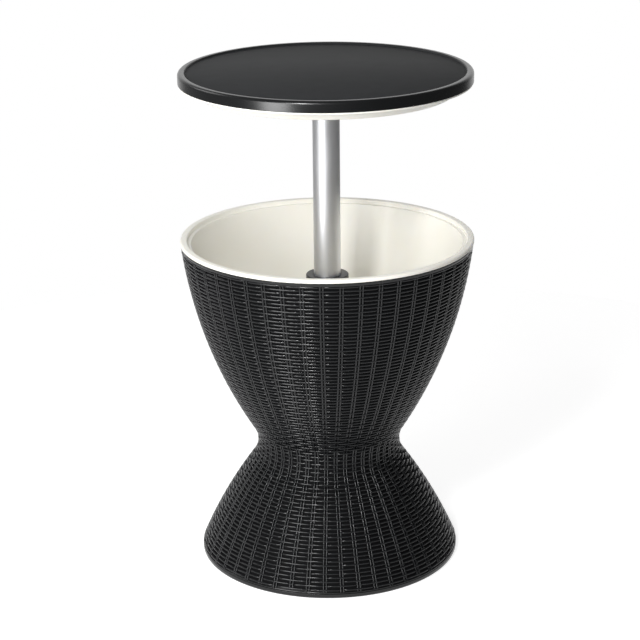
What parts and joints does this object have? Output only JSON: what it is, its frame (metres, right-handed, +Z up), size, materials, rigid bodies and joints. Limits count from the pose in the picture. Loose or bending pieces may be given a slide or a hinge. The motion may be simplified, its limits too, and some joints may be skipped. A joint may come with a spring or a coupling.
{
  "type": "patio cooler table",
  "caption": "Round side table with a wicker-look waisted bucket, a white ice tub and a top on a pole that lifts, twists to lock and closes the tub as its lid.",
  "frame": {"origin": "on the ground under the middle of the table", "axes": "+Z up along the pole, -Y towards the picture's viewer, +X to their right"},
  "size_m": [0.4888, 0.4888, 0.84],
  "materials": {
    "black_wicker_resin": "moulded wicker relief, satin",
    "black_resin": "fine moulded grain, matte",
    "white_resin": "smooth moulded, semi-gloss",
    "grey_resin": "smooth moulded",
    "satin_aluminium": "satin anodised",
    "zinc_steel": "zinc plated",
    "rubber": "matte"
  },
  "bodies": {
    "stand": {"base_skirt": "black_wicker_resin", "bucket_shell": "black_wicker_resin", "inner_tub": "white_resin", "guide_tube": "grey_resin", "guide_end_cap": "black_resin", "column_collar": "black_resin", "pole_wiper": "rubber", "drain_seat": "grey_resin", "drain_gasket": "rubber", "drain_nut": "grey_resin", "hub_screw_1": "zinc_steel", "hub_screw_2": "zinc_steel", "hub_screw_3": "zinc_steel", "hub_screw_4": "zinc_steel", "waist_screw_1": "zinc_steel", "waist_screw_2": "zinc_steel", "waist_screw_3": "zinc_steel", "waist_screw_4": "zinc_steel"},
    "glide": {"glide_ring": "black_resin"},
    "top": {"pole": "satin_aluminium", "pole_foot": "grey_resin", "foot_washer": "zinc_steel", "foot_screw": "zinc_steel", "foot_pin": "zinc_steel", "pole_socket": "satin_aluminium", "socket_pin": "zinc_steel", "lid_pan": "white_resin", "tabletop": "black_resin", "socket_screw_1": "zinc_steel", "socket_screw_2": "zinc_steel", "socket_screw_3": "zinc_steel", "socket_screw_4": "zinc_steel", "lid_screw_1": "zinc_steel", "lid_screw_2": "zinc_steel", "lid_screw_3": "zinc_steel", "lid_screw_4": "zinc_steel", "lid_screw_5": "zinc_steel", "lid_screw_6": "zinc_steel"},
    "plug": {"drain_plug": "black_resin"}
  },
  "joints": [
    {"name": "top_lift", "type": "slide", "parent": "stand", "child": "glide", "axis": [0, 0, 1], "range_m": [-0.26, 0]},
    {"name": "top_twist", "type": "hinge", "parent": "glide", "child": "top", "pos_m": [0, 0, 0.3], "axis": [0, 0, 1], "range_deg": [0, 35]},
    {"name": "drain_pull", "type": "slide", "parent": "stand", "child": "plug", "axis": [0, 0, 1], "range_m": [0, 0.03]}
  ]
}
